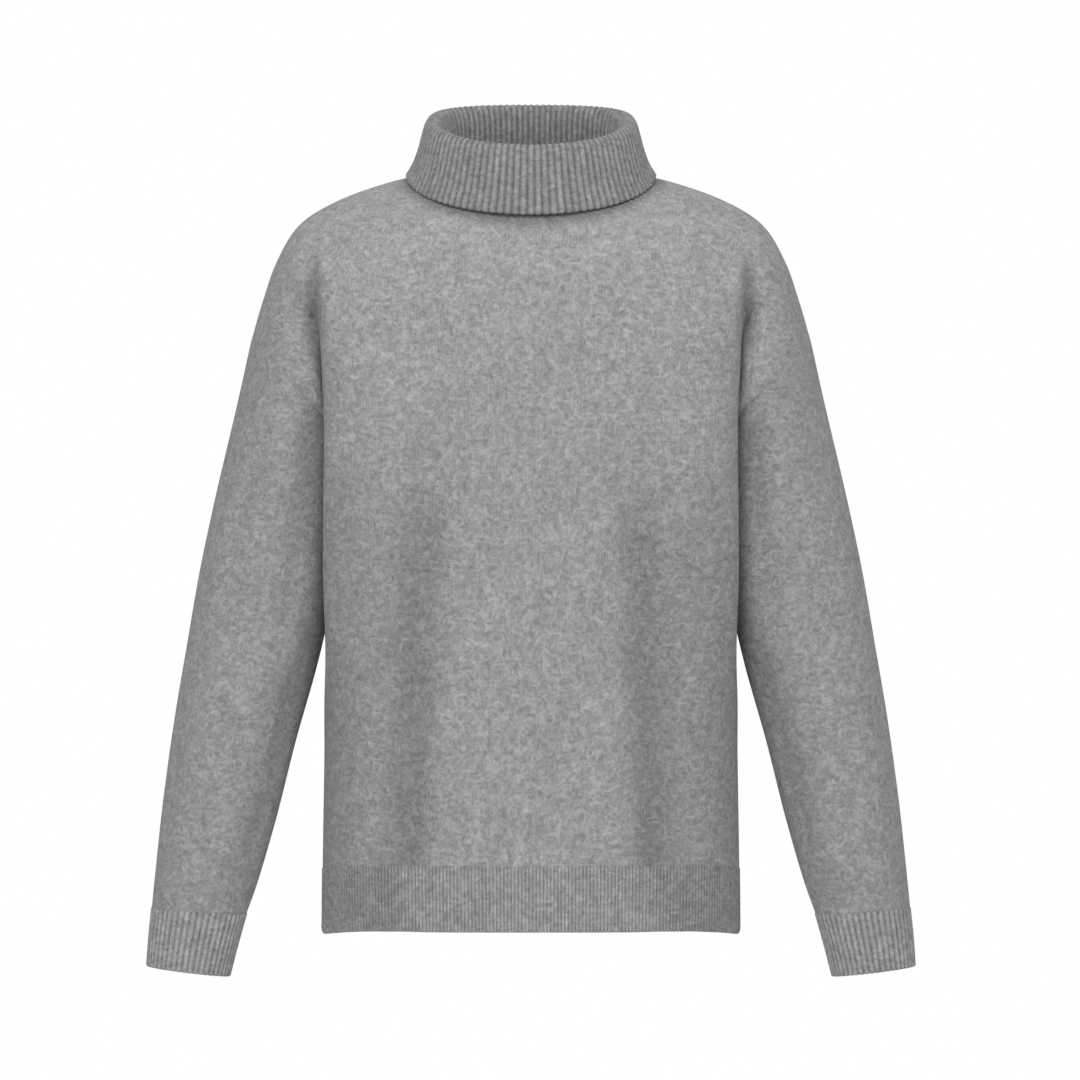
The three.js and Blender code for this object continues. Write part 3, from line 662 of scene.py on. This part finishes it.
def hem_band(name, side):
    """The ribbed band at the foot of a panel, and how high its cloth stands at each column."""
    rib = RIBS["hem"]
    shares = np.linspace(-1, 1, rib["count"] * rib["points"] + 1)
    rows = []
    for above in np.linspace(0, HEM_BAND, HEM_ROWS + 1):
        row = torso_ring(HEM_Z + above, shares, side)
        row[:, 2] = hem_line(shares, side, above)
        rows.append(row)
    middle = fold_body(np.array(rows), shares, side)
    out = away_from(facing(middle, False), middle, np.array((0, 0, HEM_Z)))
    out[:, :, 2] = 0
    out[:, 0, 1] = out[:, -1, 1] = 0
    out /= np.linalg.norm(out, axis=2, keepdims=True)
    height = rib_height(np.linspace(0, rib["count"], len(shares)))
    outer = middle + out * (rib["ridge"] * (height - 0.5))[None, :, None]
    inner = (middle - out * (RIB_WALL + rib["ridge"] / 2))[:, ::rib["points"]]
    return shell(name, outer, inner, False, (shares + 1) / 2 * KNIT_ACROSS["body"], (True, False)), height


def ring_grid(table, alongs, degrees):
    """Points of the rings of a sleeve, and each ring's middle."""
    ring = {k: v[:, None] for k, v in rows_at(table, alongs * (len(table) - 1)).items()}
    radians = np.radians(degrees)[None, :]
    across = (1 - np.cos(radians)) / 2
    x = mix(ring["inX"], ring["outX"], across)
    y = ring["y"] - ring["depth"] * np.sin(radians)
    z = mix(ring["inZ"], ring["outZ"], across)
    middle = ((ring["inX"] + ring["outX"]) / 2, ring["y"], (ring["inZ"] + ring["outZ"]) / 2)
    return np.stack([x, y, z], axis=-1), np.stack(middle, axis=-1)


def sleeve_fold_depth(degrees, alongs):
    """How far the folds press each point of a sleeve in."""
    depth = np.zeros((len(alongs), len(degrees)))
    for fold in SLEEVE_FOLDS:
        turned = degrees[None, :] - fold["angle"] - fold["turn"] * (alongs[:, None] - fold["from"])
        across = ((turned + 540) % 360 - 180) / fold["width"]
        fade = smooth((alongs - fold["from"]) / SLEEVE_FADE) * smooth((fold["to"] - alongs) / SLEEVE_FADE)
        depth += fold["depth"] * fade[:, None] * np.exp(-across**2)
    return depth


def sleeve(name, hand):
    """A sleeve from the armhole to the cuff, for the wearer's left (1) or right (-1)."""
    alongs = np.linspace(0, 1, SLEEVE_ROWS + 1)
    degrees = np.linspace(0, 360, SLEEVE_ROUND, endpoint=False)
    outer, middle = ring_grid(SLEEVE, alongs, degrees)
    away = outer - middle
    away /= np.linalg.norm(away, axis=2, keepdims=True)
    pressed = sleeve_fold_depth(degrees, alongs) * smooth(alongs / SLEEVE_HEAD)[:, None]
    outer = outer - away * pressed[:, :, None]
    out = away_from(facing(outer, True), outer, middle)
    out[0] = armhole_facing(degrees)
    inner = (outer - out * KNIT)[::2, ::2]
    piece = shell(name, outer, inner, True, KNIT_ACROSS["sleeve"], hand=hand)
    # Painted shade: the whole sleeve is painted a little darker.
    paint_shade(piece, np.full(outer.shape[0] * outer.shape[1], 1 - PAINTED_ARM_SHADE))
    return piece


def cuff(name, hand):
    """A ribbed cuff, and how high its cloth stands at each column."""
    rib = RIBS["cuff"]
    alongs = np.linspace(0, 1, CUFF_ROWS + 1)
    degrees = np.linspace(0, 360, rib["count"] * rib["points"], endpoint=False)
    surface, middle = ring_grid(CUFF, alongs, degrees)
    out = away_from(facing(surface, True), surface, middle)
    height = rib_height(np.arange(len(degrees)) / rib["points"])
    outer = surface + out * (rib["ridge"] * (height - 0.5))[None, :, None]
    inner = (surface - out * (RIB_WALL + rib["ridge"] / 2))[:, ::rib["points"] // 2]
    return shell(name, outer, inner, True, KNIT_ACROSS["cuff"], (False, True), hand=hand), height


def collar(name):
    """The folded collar, and how high its cloth stands at each column."""
    rib = RIBS["collar"]
    points = rib["count"] * rib["points"]
    shares = np.arange(points) / points
    half = 1 - np.abs(1 - 2 * shares)
    places = np.linspace(0, len(COLLAR) - 1, COLLAR_ROWS + 1)
    rows = []
    for place in places:
        ring = {k: float(v) for k, v in rows_at(COLLAR, place).items()}
        row = evenly(neck_ring(ring, 180 * FINE), half)
        row[shares > 0.5, 0] *= -1
        rows.append(row)
    middle = np.array(rows)
    out = facing(middle, True)
    height = rib_height(np.arange(points) / rib["points"])
    at_rim = 1 - RIM_FLATTER * np.exp(-((places - RIM_ROW) / RIM_REACH) ** 2)
    raised = RIB_WALL / 2 + rib["ridge"] * height[None, :] * at_rim[:, None]
    outer = middle + out * raised[:, :, None]
    inner = (middle - out * RIB_WALL / 2)[:, ::rib["points"] // 2]
    return shell(name, outer, inner, True, KNIT_ACROSS["collar"], (False, True)), height


# Materials

class Nodes:
    """A small helper that adds nodes to a tree and links them."""

    def __init__(self, tree):
        self.tree = tree
        tree.nodes.clear()

    def add(self, kind, inputs=None, **settings):
        node = self.tree.nodes.new(kind)
        for key, value in settings.items():
            setattr(node, key, value)
        for key, value in (inputs or {}).items():
            if isinstance(value, bpy.types.NodeSocket):
                self.tree.links.new(value, node.inputs[key])
            else:
                node.inputs[key].default_value = value
        return node

    def math(self, operation, a, b=0.0):
        return self.add("ShaderNodeMath", {0: a, 1: b}, operation=operation).outputs[0]

    def noise(self, vector, size, detail, roughness, offset, space="2D", curl=0.0):
        """Noise with features of about a size. The offset keeps one noise apart from another."""
        moved = self.add("ShaderNodeVectorMath", {0: vector, 1: (offset, offset * 0.7, 0)}, operation="ADD")
        inputs = {"Vector": moved.outputs[0], "Scale": 1 / size, "Detail": detail, "Roughness": roughness}
        inputs["Distortion"] = curl
        return self.add("ShaderNodeTexNoise", inputs, noise_dimensions=space).outputs[0]

    def loops(self, vector, size, offset, width):
        """Thin curly lines: 1 in the middle of a line and 0 beside it."""
        away = self.math("SUBTRACT", self.noise(vector, size, 0.5, 0.5, offset, "3D", 1.0), 0.5)
        return self.remap(self.math("ABSOLUTE", away), 0.0, width, 1.0, 0.0)

    def remap(self, value, low, high, to_low=0.0, to_high=1.0):
        inputs = {"Value": value, "From Min": low, "From Max": high, "To Min": to_low, "To Max": to_high}
        return self.add("ShaderNodeMapRange", inputs, clamp=True).outputs[0]

    def blend(self, factor, a, b):
        return self.add("ShaderNodeMix", {0: factor, 2: a, 3: b}, data_type="FLOAT").outputs[0]


def wool(name, light, wales, groove=0.0):
    """Heather wool: light and dark fibres in short worm-like strokes, faint wales, a soft fuzz and the shade
    painted on the piece. light is the mean shade, wales how clearly the columns of stitches show, and groove
    how much a point painted with no light is darkened, where 0 applies the painted share of light as it is."""
    material = bpy.data.materials.new(name)
    material.use_nodes = True
    n = Nodes(material.node_tree)
    uv = n.add("ShaderNodeUVMap", uv_map="Knit").outputs["UV"]
    mm = n.add("ShaderNodeVectorMath", {0: uv, 1: (1000, 1000, 0)}, operation="MULTIPLY").outputs[0]
    spot = n.add("ShaderNodeTexCoord").outputs["Object"]
    place = n.add("ShaderNodeVectorMath", {0: spot, 1: (1000, 1000, 1000)}, operation="MULTIPLY").outputs[0]
    thin, long = 1 / GRAIN["stroke"], 1 / GRAIN["stroke_length"]
    tall, wide = (
        n.add("ShaderNodeVectorMath", {0: place, 1: scale}, operation="MULTIPLY").outputs[0]
        for scale in ((thin, thin, long), (long, long, thin))
    )
    upright = n.noise(tall, 1.0, 1.5, 0.55, 0.0, "3D", 0.5)
    level = n.noise(wide, 1.0, 1.5, 0.55, 31.0, "3D", 0.5)
    round_fleck = n.noise(place, GRAIN["fleck"], 3.0, 0.65, 7.0, "3D", 0.4)
    split = n.add("ShaderNodeSeparateXYZ", {0: mm})
    off_middle = n.math("ABSOLUTE", n.math("SUBTRACT", split.outputs["X"], KNIT_ACROSS["body"] / 2))
    sideways = n.math("MULTIPLY", off_middle, LEVEL_STROKES)
    swap = n.remap(n.math("ADD", n.noise(mm, GRAIN["swap"], 1.0, 0.5, 53.0), sideways), 0.46, 0.62)
    strokes = n.blend(swap, upright, level)
    cloud = n.noise(mm, GRAIN["cloud"], 3.0, 0.55, 91.0)
    fleck = n.math("ADD", n.math("MULTIPLY", strokes, 0.72), n.math("MULTIPLY", round_fleck, 0.28))
    contrast = n.remap(fleck, 0.36, 0.64, 0.83, 1.17)
    here = n.remap(n.noise(place, GRAIN["loop_patch"], 1.0, 0.5, 401.0, "3D"), 0.38, 0.58)
    bright = n.loops(place, GRAIN["light_loop"], 211.0, 0.11)
    dark = n.loops(place, GRAIN["dark_loop"], 511.0, 0.08)
    bright = n.math("MULTIPLY", bright, n.remap(here, 0.0, 1.0, 0.14, 0.3))
    dark = n.math("MULTIPLY", dark, n.remap(here, 0.0, 1.0, 0.22, 0.13))
    loops = n.math("ADD", 1.0, n.math("SUBTRACT", bright, dark))
    speck = n.remap(n.noise(place, GRAIN["speck"], 1.0, 0.5, 307.0, "3D"), 0.3, 0.7, 0.95, 1.05)
    contrast = n.math("MULTIPLY", contrast, n.math("MULTIPLY", loops, speck))
    patch = n.noise(mm, GRAIN["patch"], 2.0, 0.5, 113.0)
    mottled = n.math("MULTIPLY", contrast, n.remap(cloud, 0.3, 0.7, 0.975, 1.025))
    mottled = n.math("MULTIPLY", mottled, n.remap(patch, 0.3, 0.7, 0.98, 1.02))
    wobble = n.math("MULTIPLY", n.noise(mm, GRAIN["wobble"], 2.0, 0.5, 17.0), 1.4)
    turns = n.math("MULTIPLY", n.math("ADD", split.outputs["X"], wobble), 2 * math.pi / GRAIN["wale"])
    wale = n.math("SINE", turns)
    shown = n.remap(n.noise(mm, GRAIN["wale_patch"], 2.0, 0.5, 71.0), 0.42, 0.62)
    wale = n.math("MULTIPLY", wale, n.math("MULTIPLY", shown, wales))
    shade = n.math("MULTIPLY", mottled, n.math("ADD", n.math("MULTIPLY", wale, 0.05), 1.0))
    # Painted shade: the knit's colour is multiplied by the share of light painted on each point of the piece.
    painted_light = n.add("ShaderNodeAttribute", attribute_name="Light").outputs["Fac"]
    shade = n.math("MULTIPLY", shade, n.remap(painted_light, 0.0, 1.0, 1 - groove, 1.0) if groove else painted_light)
    tint = n.add("ShaderNodeVectorMath", {0: (light, light, light), 3: shade}, operation="SCALE")
    height = n.math("ADD", n.math("MULTIPLY", fleck, 0.6), n.math("MULTIPLY", wale, 0.22))
    height = n.math("ADD", height, n.math("MULTIPLY", loops, 0.8))
    fuzz = n.noise(mm, GRAIN["fuzz"], 2.0, 0.6, 5.0)
    height = n.math("ADD", height, n.math("MULTIPLY", fuzz, 0.35))
    bump = n.add("ShaderNodeBump", {"Strength": 0.55, "Distance": 0.0011, "Height": height})
    shader = n.add("ShaderNodeBsdfPrincipled", {
        "Base Color": tint.outputs[0],
        "Roughness": 0.95,
        "Specular IOR Level": 0.18,
        "Sheen Weight": 0.12,
        "Sheen Roughness": 0.6,
        "Normal": bump.outputs["Normal"],
    })
    n.add("ShaderNodeOutputMaterial", {"Surface": shader.outputs["BSDF"]})
    return material


def plain_paint(name, color):
    material = bpy.data.materials.new(name)
    material.use_nodes = True
    n = Nodes(material.node_tree)
    place = n.add("ShaderNodeTexCoord").outputs["Object"]
    speckle = n.add("ShaderNodeTexNoise", {"Vector": place, "Scale": 3.0, "Detail": 2.0}).outputs[0]
    shade = n.remap(speckle, 0.3, 0.7, 0.98, 1.0)
    tint = n.add("ShaderNodeVectorMath", {0: color, 3: shade}, operation="SCALE")
    shader = n.add("ShaderNodeBsdfPrincipled", {"Base Color": tint.outputs[0], "Roughness": 0.9})
    n.add("ShaderNodeOutputMaterial", {"Surface": shader.outputs["BSDF"]})
    return material


def paint_shade(piece, light):
    """Keeps a painted share of light, which is painted shade, for each point of a piece's outer face. Its
    other points get all of it.
    """
    mesh = piece.data
    everywhere = np.ones(len(mesh.vertices))
    everywhere[: len(light)] = light
    mesh.attributes.new("Light", "FLOAT", "POINT").data.foreach_set("value", everywhere)


def paint_rib_shade(piece, height, rib, shade=1.0):
    """Paints shade on each point of a ribbed piece, from a groove up to the top of a ridge."""
    rows = len(piece.data.vertices) // len(height)
    paint_shade(piece, np.tile(mix(rib["groove"], rib["top"], height) * shade, rows))


def paint_fold_shade(piece, points, side):
    """Paints shade into the folds, on the flanks beside the arms and where a panel runs onto the arm, at the
    crease by the arm, and a shadow on the cloth under the collar.
    """
    x, y, z = (points[:, :, axis].ravel() for axis in range(3))
    # Painted shade on the flanks and in the folds, from partway down the body.
    low = smooth((PAINTED_FLANK_SHADE["top"] - z) / PAINTED_FLANK_SHADE["fade"])
    begun = smooth((np.abs(x) - PAINTED_FLANK_SHADE["inner"]) / PAINTED_FLANK_SHADE["ease_in"])
    beside = begun * (1 - smooth((np.abs(x) - PAINTED_FLANK_SHADE["outer"]) / PAINTED_FLANK_SHADE["ease_out"]))
    pressed = np.clip(fold_depth(x, z, side), 0, DEEP_FOLD) / DEEP_FOLD
    # A shadow painted below the collar's lower edge.
    edge = COLLAR[-1]
    out = np.hypot(x / edge["half"], y / edge["front" if side < 0 else "back"])
    painted_collar_shadow = (1 - smooth((out - PAINTED_COLLAR_SHADOW["from"]) / PAINTED_COLLAR_SHADOW["width"])) * PAINTED_COLLAR_SHADOW["shade"]
    # Painted shade where a panel runs onto the arm.
    painted_arm_shade = PAINTED_ARM_SHADE * smooth((np.abs(x) - ARM_EDGE) / ARM_EASE)
    painted_shade = PAINTED_FLANK_SHADE["shade"] * low * beside + PAINTED_FLANK_SHADE["fold"] * pressed * low + painted_collar_shadow + painted_arm_shade
    # Painted shade at the upper end of the crease between body and arm.
    outside = smooth((np.abs(x) - PAINTED_CREASE_SHADE["inner"]) / PAINTED_CREASE_SHADE["ease"])
    painted_crease_shade = pressed * outside * smooth((z - PAINTED_CREASE_SHADE["foot"]) / PAINTED_CREASE_SHADE["fade"])
    paint_shade(piece, 1 - painted_shade - PAINTED_CREASE_SHADE["shade"] * painted_crease_shade)


# The sweater

plain_knit = wool("plain_knit", 0.326, 1.0)
# The ribbed knit: a point painted with no light keeps 0.4 of its colour.
rib_knit = wool("rib_knit", 0.362, 0.6, groove=0.6)


def dress(piece, node, material, slot, flat, area):
    """Puts a finished piece in the place of its node, with its material. The size it was knitted to, in
    millimetres, is not used.
    """
    piece.data.materials.append(material)
    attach(piece, "root")
    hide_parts(node)


for side, name in ((-1, "front"), (1, "back")):
    dress(panel(f"{name}_cloth", side), name, plain_knit, "plain_knit", *SHEETS["panel"])
    band, ridges = hem_band(f"hem_{name}_cloth", side)
    # Painted shade in the hem's grooves, darker towards its sides.
    beside = np.abs(np.linspace(-1, 1, len(ridges)))
    painted_shade = PAINTED_HEM_SHADE["shade"] * smooth((beside - PAINTED_HEM_SHADE["from"]) / PAINTED_HEM_SHADE["ease"])
    paint_rib_shade(band, ridges, RIBS["hem"], shade=1 - painted_shade)
    dress(band, f"hem_{name}", rib_knit, "rib_knit", *SHEETS["hem"])
for hand, name in ((1, "left"), (-1, "right")):
    dress(sleeve(f"sleeve_{name}_cloth", hand), f"sleeve_{name}", plain_knit, "plain_knit", *SHEETS["sleeve"])
    band, ridges = cuff(f"cuff_{name}_cloth", hand)
    # Painted shade in the cuff's grooves.
    paint_rib_shade(band, ridges, RIBS["cuff"])
    dress(band, f"cuff_{name}", rib_knit, "rib_knit", *SHEETS["cuff"])
neck, ridges = collar("collar_cloth")
# Painted shade in the collar's grooves and over the whole collar.
paint_rib_shade(neck, ridges, RIBS["collar"])
dress(neck, "collar", rib_knit, "rib_knit", *SHEETS["collar"])


# Floor, light and camera

def floor():
    mesh = bpy.data.meshes.new("floor")
    corners = [(FLOOR_REACH * x, FLOOR_REACH * y, FLOOR_Z) for x, y in ((-1, -1), (1, -1), (1, 1), (-1, 1))]
    mesh.from_pydata(corners, [], [(0, 1, 2, 3)])
    plane = bpy.data.objects.new("floor", mesh)
    mesh.materials.append(plain_paint("floor_paint", FLOOR_SHADE))
    bpy.context.scene.collection.objects.link(plane)


def world():
    """Even white surroundings, softer on the cloth than they look behind it."""
    scene = bpy.context.scene
    scene.world = bpy.data.worlds.new("studio")
    scene.world.use_nodes = True
    n = Nodes(scene.world.node_tree)
    seen = n.add("ShaderNodeBackground", {"Color": (1, 1, 1, 1), "Strength": 1.0}).outputs[0]
    cast = n.add("ShaderNodeBackground", {"Color": (1, 1, 1, 1), "Strength": WORLD_CAST}).outputs[0]
    camera_ray = n.add("ShaderNodeLightPath").outputs["Is Camera Ray"]
    both = n.add("ShaderNodeMixShader", {0: camera_ray, 1: cast, 2: seen}).outputs[0]
    n.add("ShaderNodeOutputWorld", {"Surface": both})


def softbox(name, place, aim, size, power):
    data = bpy.data.lights.new(name, "AREA")
    data.shape = "RECTANGLE"
    data.size, data.size_y = size
    data.energy = power
    lamp = bpy.data.objects.new(name, data)
    lamp.location = place
    lamp.rotation_mode = "QUATERNION"
    lamp.rotation_quaternion = (Vector(aim) - Vector(place)).to_track_quat("-Z", "Y")
    bpy.context.scene.collection.objects.link(lamp)


def camera():
    data = bpy.data.cameras.new("camera")
    data.lens = LENS
    data.sensor_width = SENSOR
    frame_width = PHOTO_SIZE * PHOTO_MM * MM
    distance = LENS * frame_width / SENSOR
    data.clip_end = 10 * distance
    view = bpy.data.objects.new("camera", data)
    across = (PHOTO_SIZE / 2 - PHOTO_CENTRE_X) * PHOTO_MM * MM
    up = (PHOTO_NECK_Y - PHOTO_SIZE / 2) * PHOTO_MM * MM
    view.location = (across, -distance, up)
    view.rotation_euler = (math.radians(90), 0, 0)
    bpy.context.scene.collection.objects.link(view)
    bpy.context.scene.camera = view


floor()
world()
for lamp in LAMPS:
    softbox(**lamp)
camera()
bpy.context.scene.view_settings.view_transform = "Standard"
